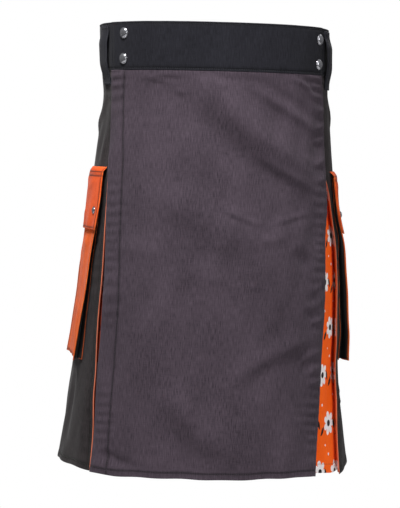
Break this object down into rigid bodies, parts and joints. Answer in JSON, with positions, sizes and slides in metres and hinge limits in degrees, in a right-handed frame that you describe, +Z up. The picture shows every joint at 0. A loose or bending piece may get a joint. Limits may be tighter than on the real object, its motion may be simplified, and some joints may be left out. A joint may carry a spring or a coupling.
{
  "type": "utility kilt",
  "caption": "Wrap-over utility kilt held open as worn, with a plain front apron, pleats of contrast cloth, belt loops, dome snaps and a flapped bellows pocket on each side.",
  "frame": {"origin": "centre of the waist opening, halfway up the waistband", "axes": "+Z up towards the waist, the apron faces -Y, +X is the right-hand side seen from the front"},
  "size_m": [0.414, 0.35, 0.612],
  "materials": {
    "apron": "charcoal cotton twill with a faint purple cast",
    "panel": "dark warm grey cotton twill",
    "band": "near-black navy cotton twill",
    "insert": "bright orange printed cotton",
    "pocket": "orange cotton twill",
    "gusset": "black cotton twill",
    "snap": "polished nickel-plated brass"
  },
  "bodies": {
    "root": {"waistband": "band", "apron_band": "band", "over_apron": "apron", "under_apron": "apron", "side_panel_left": "panel", "side_panel_right": "panel", "back_face_1": "panel", "back_face_2": "panel", "back_face_3": "panel", "back_face_4": "panel", "pleat_front_left": "insert", "pleat_front_right": "insert", "pleat_back_1": "insert", "pleat_back_2": "insert", "pleat_back_3": "insert", "pleat_back_4": "insert", "pleat_back_5": "insert", "belt_loop_front_left": "band", "belt_loop_front_right": "band", "belt_loop_back_left": "band", "belt_loop_back_centre": "band", "belt_loop_back_right": "band", "snap_band_left_upper": "snap", "snap_band_left_lower": "snap", "snap_band_right_upper": "snap", "snap_band_right_lower": "snap", "pocket_left_back": "pocket", "pocket_left_gusset_front": "gusset", "pocket_left_gusset_rear": "gusset", "pocket_left_gusset_base": "gusset", "pocket_left_front": "pocket", "pocket_left_flap": "pocket", "snap_pocket_left_front": "snap", "snap_pocket_left_rear": "snap", "pocket_right_back": "pocket", "pocket_right_gusset_front": "gusset", "pocket_right_gusset_rear": "gusset", "pocket_right_gusset_base": "gusset", "pocket_right_front": "pocket", "pocket_right_flap": "pocket", "snap_pocket_right_front": "snap", "snap_pocket_right_rear": "snap"}
  },
  "joints": []
}
